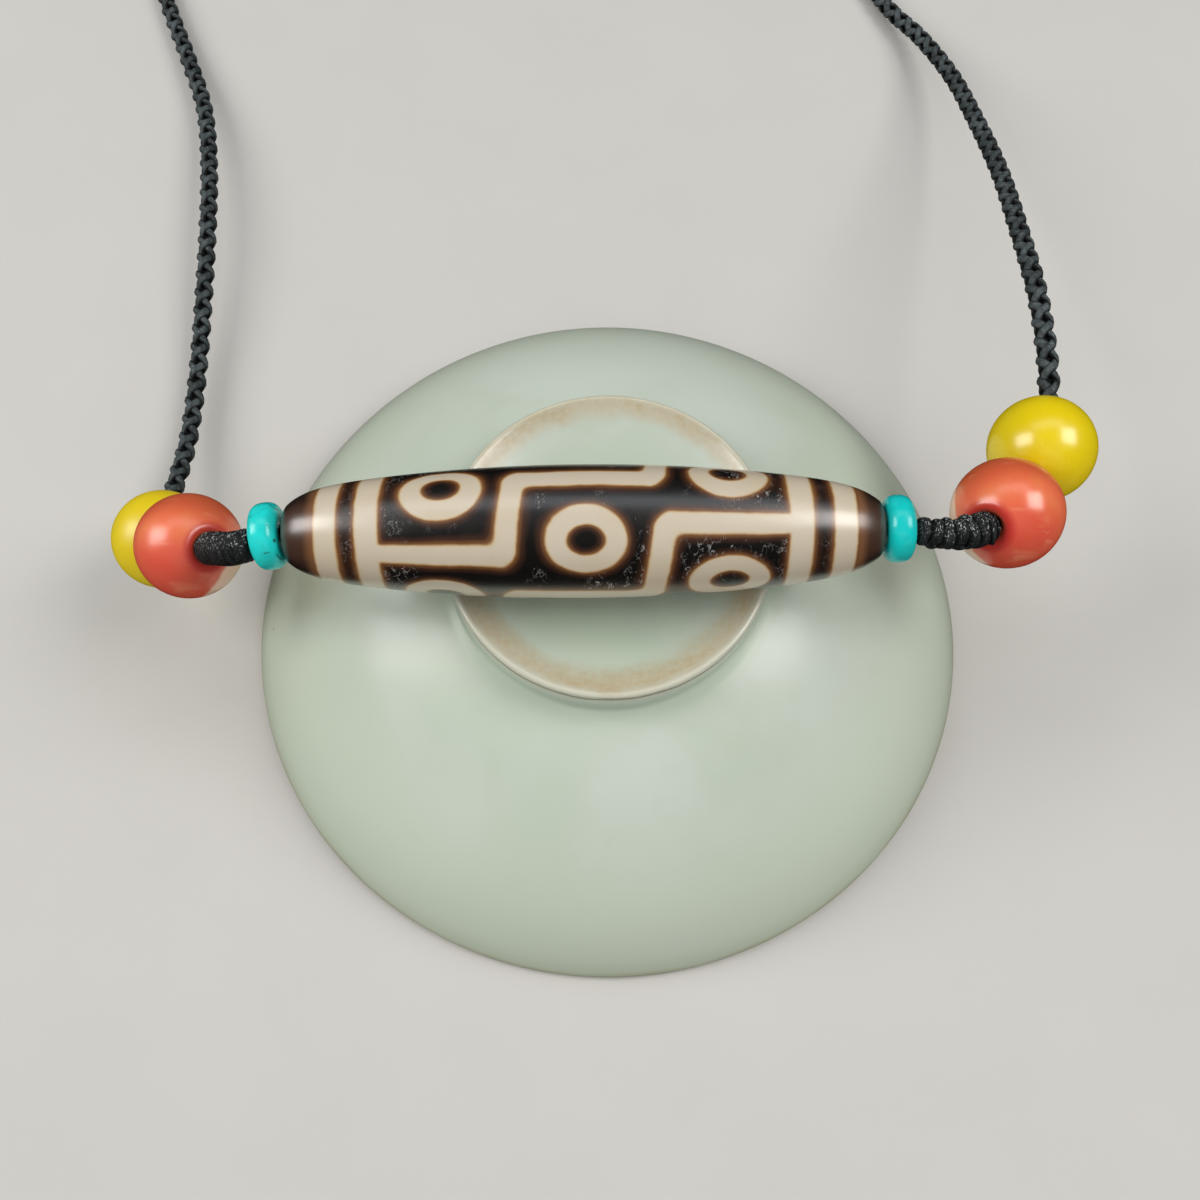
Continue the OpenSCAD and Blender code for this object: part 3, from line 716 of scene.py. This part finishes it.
# Distance in mm from a straight bar drawn on the bead: beyond its half length and beyond its half turn
onBead = {"Along": 0.0, "Turn": 0.0, "Middle": 0.0, "Middle Turn": 0.0}
barField, i, o = startGroup("barField", {**onBead, "Half": 1.0, "Half Turn": 0.0, "Lean": 0.0}, ["Distance"])
offTurn = (i["Turn"] - i["Middle Turn"]).do("WRAP", 60, -60)
dx = (abs(i["Along"] - i["Middle"] - offTurn * i["Lean"]) - i["Half"]).do("MAXIMUM", 0)
dt = (abs(offTurn) - i["Half Turn"]).do("MAXIMUM", 0) * dziSet["roundMm"]
plug(o["Distance"], (dx ** 2 + dt ** 2).do("SQRT"))

# Distance from an eye's middle, squashed round the bead, for its outer edge and for its pupil
eyeField, i, o = startGroup("eyeField", {**onBead, "Pupil Turn": 0.0}, ["Distance", "Pupil Distance"])
pupilSquash = dziSet["pupilSquash"] * dziSet["eyeSquash"]
for socket, off, squash in (("Distance", i["Middle Turn"], dziSet["eyeSquash"]),
                            ("Pupil Distance", i["Middle Turn"] + i["Pupil Turn"], pupilSquash)):
    dt = (i["Turn"] - off).do("WRAP", 180, -180) * (dziSet["roundMm"] * squash)
    plug(o[socket], ((i["Along"] - i["Middle"]) ** 2 + dt ** 2).do("SQRT"))


def dziMaterial(s):
    material, tree, shader = newMaterial(
        "etchedAgate", Specular_IOR_Level=1.0, Coat_Weight=0.6, Coat_Roughness=0.3)
    place = objectPlace(tree, string["dziMiddle"])
    along, share = pieceMap(tree)
    turn = (share * 360).do("WRAP", 180, -180)
    # the drawn edges wander slowly and fray a little
    slow = addNode(tree, "ShaderNodeSeparateColor", {0: noiseAt(place, 130.0, 1.0)[1]})
    fray = addNode(tree, "ShaderNodeSeparateColor", {0: noiseAt(place, 1000.0, 2.0)[1]})
    x = along + (slow[0] - 0.5) * s["wander"][0] + (fray[0] - 0.5) * s["fray"][0]
    drawnTurn = turn + (slow[1] - 0.5) * s["wander"][1] + (fray[1] - 0.5) * s["fray"][1]
    field = None
    for middle, middleTurn, half, halfTurn, lean in s["lines"]:
        bar = placed(tree, barField, {
            "Along": x, "Turn": drawnTurn, "Middle": middle, "Middle Turn": middleTurn, "Half": half,
            "Half Turn": halfTurn, "Lean": lean})[0]
        field = bar if field is None else field.do("SMOOTH_MIN", bar, s["corner"])
    field = field - s["lineHalf"]
    for middle, half in s["bands"]:
        field = field.do("SMOOTH_MIN", abs(x - middle) - half, 0.5)
    for middle, middleTurn, pupilTurn in s["eyes"]:
        eye = placed(tree, eyeField, {
            "Along": x, "Turn": drawnTurn, "Middle": middle, "Middle Turn": middleTurn,
            "Pupil Turn": pupilTurn})
        field = field.do("MINIMUM", (eye[0] - s["eyeOuter"]).do("MAXIMUM", eye[1] * -1 + s["eyePupil"]))
    # cream, a narrow tan edge, an amber line, a brown halo of uneven width, black
    edge = field * between(noiseAt(place, 210.0, 2.0)[0], *s["edgeWidth"])
    low, high = s["edgeSpan"]
    level = addNode(tree, "ShaderNodeMapRange", {"Value": edge, "From Min": low, "From Max": high})[0]
    tones = [s[tone] for tone in ("cream", "creamWarm", "tan", "amber", "umber", "black")]
    colour = rampOf(level, list(zip(s["edgeStops"], tones)))
    inCream = softStep(field, -0.1, -0.4)
    colour = blend(patches(place, *s["warmCloud"]) * inCream * 0.45, colour, s["creamWarm"])
    # brown ends beyond the outer bands, warmer next to them, with painted shade away from the side that faces
    # the viewer
    beyond = (along * -1 - s["capFrom"][0]).do("MAXIMUM", along - s["capFrom"][1])
    glow = softStep(beyond + (noiseAt(place, 300.0)[0] - 0.5) * 0.8, *s["capGlow"])
    capTone = blend(glow, blend(softStep(abs(turn), *s["capShadeTurn"]), s["cap"], s["capShade"]), s["capWarm"])
    colour = blend(softStep(beyond, -0.1, 0.3) * softStep(field, 0.0, 0.3), colour, capTone)
    # weathering: small chips with a painted highlight on one edge, and light scratch strokes, stretched round
    # the bead, in loose groups on the black
    skin = joined(along, turn * (s["roundMm"] * s["chipSquash"]))
    skin = vectorDo("ADD", skin, stretched(noiseAt(skin, 1.9, 2.0)[1], [s["chipBend"]] * 3))[0]
    groups = patches(place, *s["chipGroups"])
    chips, chipLitEdge = placed(tree, pits, {"Vector": skin, **s["chips"]})
    fineChips, fineChipLitEdge = placed(tree, pits, {"Vector": skin, **s["fineChips"]})
    onDark = softStep(field, 0.1, 0.5) * softStep(abs(along), *s["chipAlong"])
    strokes = softStep(crackLines(skin, 1.7), *s["strokeWide"]) * patches(skin, *s["strokeGroups"])
    marks = chipLitEdge.do("MAXIMUM", fineChipLitEdge).do("MAXIMUM", strokes) * groups * onDark
    colour = blend(marks * 0.75, colour, s["chipLitEdgeAndScratch"])
    plug(shader["Base Color"], colour)
    plug(shader["Roughness"], between(noiseAt(place, 420.0, 3.0)[0], 0.26, 0.36))
    dents = chips.do("MAXIMUM", fineChips).do("MAXIMUM", strokes) * groups * onDark
    scuffs = noiseAt(stretched(skin, (5.0, 1.0, 1.0)), 3.0, 2.0)[0]
    setBump(shader, [(noiseAt(place, 1500.0, 3.0)[0], 0.01, 0.5), (scuffs, 0.008, 0.6), (dents, -0.04, 1.0)])
    return material


# The long bead's outline: a slow arc less each end's fall, fall x exp(-distance / length), a small edge
# round, a flat end to the hole, and back along the hole
def dziOutline(s):
    reach = string["dziLong"] / 2
    x = reach * np.sin(np.linspace(-1, 1, s["rows"]) * np.pi / 2)
    radius = s["across"] / 2 - s["arc"] + np.sqrt(s["arc"] ** 2 - x ** 2)
    for sign, fall, fallLong in zip((-1, 1), s["fall"], s["fallLong"]):
        d = reach - sign * x
        radius -= fall * np.exp(-d / fallLong)
        radius -= s["edge"] - np.sqrt(s["edge"] ** 2 - np.clip(s["edge"] - d, 0, None) ** 2)
    face, inHole = s["facePoints"], s["holePoints"]
    hole, steps = string["hole"], np.linspace(0, 1, face + 2)[1:-1]
    headFace = hole + (radius[0] - hole) * steps
    tailFace = radius[-1] + (hole - radius[-1]) * steps
    back = np.linspace(reach - 0.05, 0.05 - reach, inHole)
    along = np.concatenate([np.full(face, -reach), x, np.full(face, reach), back])
    return along, np.concatenate([headFace, radius, tailFace, np.full(inHole, hole)])


dziAlong, dziRadius = dziOutline(dziSet)
look = math.radians(dziSet["look"])
upper = [0, -math.cos(look), math.sin(look)]
dziGrid = turned(dziAlong, dziRadius, dziMiddle, dziWay, upper, dziSet["around"])
dzi = buildPiece("longPatternedBead", closedShell(dziGrid, dziAlong), dziMaterial(dziSet))
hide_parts("dzi_bead")
print("long bead:", len(dziAlong), "rings")


discSet = {
    "across": 6.7, "edge": 1.4, "square": 2.5, "dish": 0.16, "lip": 0.15, "around": 96,
    "rimPoints": 40, "facePoints": 7, "holePoints": 5,
    # painted light: the left disc's base tone is lighter than the right's, making up for the shade on it
    "base": [(0.016, 0.7, 0.66, 1), (0.006, 0.58, 0.56, 1)],
    "deep": [(0.007, 0.5, 0.46, 1), (0.005, 0.48, 0.46, 1)],
    "pale": (0.05, 0.64, 0.6, 1), "vein": (0.02, 0.06, 0.05, 1), "veinShare": [0.8, 0.12],
    "deepCloud": (260.0, 0.35, 0.7), "paleCloud": (700.0, 0.52, 0.75), "veinGroups": (300.0, 0.52, 0.62),
    "veinWide": (0.045, 0.012), "veinBend": 0.0012,
}


def discMaterial(s, k):
    material, tree, shader = newMaterial("turquoise" + ends[k], Specular_IOR_Level=0.5)
    place = objectPlace(tree, places[k]["disc"])
    cloud = patches(place, *s["deepCloud"])
    colour = blend(cloud, s["base"][k], s["deep"][k])
    colour = blend(patches(place, *s["paleCloud"]) * 0.35, colour, s["pale"])
    bend = stretched(noiseAt(place, 500.0)[1], [s["veinBend"]] * 3)
    cracks = crackLines(vectorDo("ADD", place, bend)[0], 300.0)
    veins = softStep(cracks, *s["veinWide"]) * patches(place, *s["veinGroups"])
    specks = placed(tree, pits, {"Vector": place, "Scale": 900.0, "Share": 0.05, "Size": 0.2})[0]
    dark = veins.do("MAXIMUM", specks) * s["veinShare"][k]
    plug(shader["Base Color"], blend(dark, colour, s["vein"]))
    plug(shader["Roughness"], between(cloud, 0.2, 0.28))
    setBump(shader, [(noiseAt(place, 900.0, 2.0)[0], 0.015, 0.5), (dark, -0.03, 1.0)])
    return material


# A disc's outline: a rounded but squarish rim, faces that dip a little to the hole, and back through the hole
def discOutline(s):
    hole, edge, middle = string["hole"], s["edge"], s["across"] / 2 - s["edge"]
    rim = arcPoints((0, 0), 1, -90, 90, s["rimPoints"])
    rim = np.sign(rim) * np.abs(rim) ** (2 / s["square"])
    face = np.linspace(hole + s["lip"], middle, s["facePoints"] + 1)[:-1]
    dip = edge - s["dish"] * (1 - (face - hole) / (middle - hole)) ** 2
    deep, inHole = edge - s["dish"] - s["lip"], s["holePoints"]
    along = np.concatenate([-dip, edge * rim[:, 1], dip[::-1], np.linspace(deep, -deep, inHole)])
    return along, np.concatenate([face, middle + edge * rim[:, 0], face[::-1], np.full(inHole, hole)])


for k in (0, 1):
    along, radius = discOutline(discSet)
    grid = turned(along, radius, places[k]["disc"], places[k]["discWay"], (0, 0, 1), discSet["around"])
    look = discMaterial(discSet, k)
    disc = buildPiece("turquoiseDisc" + ends[k], closedShell(grid, along), look)
    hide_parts("turquoise_disc_" + sides[k])


roundSet = {"mouth": 1.9, "mouthDeep": 1.5, "soften": 0.75, "rows": 120, "around": 144,
            "lipPoints": 12, "conePoints": 7, "holePoints": 5}


# A drilled ball's outline: the ball from mouth to mouth, a soft lip, a cone to the hole, and back along it
def roundOutline(across, s):
    ball, hole = across / 2, string["hole"]
    away = math.degrees(math.asin(s["mouth"] / ball)) + math.degrees(s["soften"] / ball)
    outer = arcPoints((0, 0), ball, 90 - away, -90 + away, s["rows"])[:, ::-1]
    top = math.sqrt(ball ** 2 - s["mouth"] ** 2)
    start, end = np.array([top - s["mouthDeep"], hole]), np.array([top, s["mouth"]])
    inwards = end - unit(end - start) * s["soften"]
    t = np.linspace(0, 1, s["lipPoints"] + 1)[:-1, None]
    lip = (1 - t) ** 2 * inwards + 2 * t * (1 - t) * end + t ** 2 * outer[0]
    cone = start + (inwards - start) * np.linspace(0, 1, s["conePoints"] + 1)[:-1, None]
    head = np.vstack([cone, lip])
    inHole = np.stack([np.linspace(-start[0], start[0], s["holePoints"] + 2)[1:-1],
                       np.full(s["holePoints"], hole)], 1)
    line = np.vstack([head, outer, head[::-1] * [-1, 1], inHole])
    return line[:, 0], line[:, 1]


coralSet = {
    "red": (0.82, 0.15, 0.07, 1), "orange": (0.82, 0.21, 0.075, 1), "low": (0.7, 0.072, 0.045, 1),
    "mouthShade": (0.56, 0.03, 0.026, 1), "cream": (0.88, 0.6, 0.45, 1), "streak": (0.88, 0.34, 0.18, 1),
    "high": (0.58, 0.095, 0.034, 1), "cloud": (150.0, 0.36, 0.66), "streaks": (180.0, 0.6, 0.78),
    # painted shade: the near side is deeper, from and to these shares of the radius, and so is the far side,
    # where it damps the sheen
    "nearShadeFrom": (-0.05, -0.8), "farShadeFrom": (0.0, 0.6), "mouthShadeAlong": (4.85, 5.3), "rough": [0.26, 0.19],
    # the cream caps look this way and reach to this cosine from it
    "creamWay": [(0.74, -0.24, -0.63), (-0.62, -0.04, -0.78)], "creamFrom": [0.58, 0.46],
    "creamSoft": (-0.03, 0.05), "creamRagged": 0.16,
}


def coralMaterial(s, k):
    material, tree, shader = newMaterial("coralRed" + ends[k], Specular_IOR_Level=0.9)
    place = objectPlace(tree, places[k]["coral"])
    along = pieceMap(tree)[0]
    onBall = stretched(place, [millimetres / (string["coralAcross"] / 2)] * 3)
    y = addNode(tree, "ShaderNodeSeparateXYZ", {0: onBall})[1]
    colour = blend(patches(place, *s["cloud"]), s["red"], s["orange"])
    # painted shade: deeper red towards the near side and towards the far side
    wavyY = y + (noiseAt(place, 190.0)[0] - 0.5) * 0.5
    colour = blend(softStep(wavyY, *s["nearShadeFrom"]) * 0.8, colour, s["low"])
    colour = blend(softStep(y, *s["farShadeFrom"]) * 0.85, colour, s["high"])
    grain = stretched(place, (1.0, 3.5, 2.0))
    colour = blend(patches(grain, *s["streaks"]) * 0.4, colour, s["streak"])
    facing = vectorDo("DOT_PRODUCT", onBall, tuple(unit(s["creamWay"][k])))[1]
    ragged = facing + (noiseAt(place, 230.0, 3.0)[0] - 0.5) * s["creamRagged"]
    capMask = softStep(ragged, *[s["creamFrom"][k] + soft for soft in s["creamSoft"]])
    colour = blend(capMask * 0.9, colour, s["cream"])
    # painted shade: the bead is deeper red round its mouth, where the knot goes in
    colour = blend(softStep(abs(along), *s["mouthShadeAlong"]) * 0.9, colour, s["mouthShade"])
    nicks = placed(tree, pits, {"Vector": place, "Scale": 300.0, "Share": 0.06, "Size": 0.12})[0]
    plug(shader["Base Color"], blend(nicks * 0.5, colour, s["cream"]))
    plug(shader["Roughness"], between(noiseAt(place, 300.0)[0], s["rough"][k], s["rough"][k] + 0.1))
    setBump(shader, [(noiseAt(place, 420.0, 3.0)[0], 0.02, 0.5), (nicks, -0.03, 1.0)])
    return material


yellowSet = {
    "base": (0.8, 0.615, 0.002, 1), "deep": (0.74, 0.52, 0.001, 1), "pale": (0.84, 0.67, 0.01, 1),
    "cloud": (170.0, 0.35, 0.75), "swirl": (380.0, 0.5, 0.8), "rough": [0.38, 0.25],
}


def yellowMaterial(s, k):
    material, tree, shader = newMaterial("yellowResin" + ends[k], Specular_IOR_Level=0.9)
    place = objectPlace(tree, places[k]["yellow"])
    colour = blend(patches(place, *s["cloud"]) * 0.6, s["base"], s["deep"])
    swirl = patches(place, *s["swirl"])
    plug(shader["Base Color"], blend(swirl * 0.4, colour, s["pale"]))
    plug(shader["Roughness"], between(swirl, s["rough"][k], s["rough"][k] + 0.07))
    setBump(shader, [(noiseAt(place, 500.0, 2.0)[0], 0.012, 0.4)])
    return material


for k in (0, 1):
    for kind, maker, look, slotName in (("coral", coralMaterial, coralSet, "coral"),
                                        ("yellow", yellowMaterial, yellowSet, "yellow_resin")):
        along, radius = roundOutline(string[kind + "Across"], roundSet)
        middle, way = places[k][kind], places[k][kind + "Way"]
        grid = turned(along, radius, middle, way, (0.1, 0.2, 1), roundSet["around"])
        bead = buildPiece(kind + "Bead" + ends[k], closedShell(grid, along), maker(look, k))
        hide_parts(kind + "_bead_" + sides[k])
print("beads and discs: done")


floorSet = {"half": 1600.0, "colour": (0.56, 0.545, 0.52)}
h = floorSet["half"] * metre
floorMesh = bpy.data.meshes.new("floor")
floorMesh.from_pydata([(-h, -h, 0), (h, -h, 0), (h, h, 0), (-h, h, 0)], [], [(0, 1, 2, 3)])
floorMaterial, tree, shader = newMaterial("floorPale", Roughness=0.75)
tone = between(noiseAt(objectPlace(tree), 60.0, 4.0)[0], 0.97, 1.03)
plug(shader["Base Color"], addNode(tree, "ShaderNodeVectorMath", {0: floorSet["colour"], "Scale": tone},
                                   operation="SCALE")[0])
floorMesh.materials.append(floorMaterial)
floor = bpy.data.objects.new("floor", floorMesh)
link(floor)
floor.visible_glossy = False
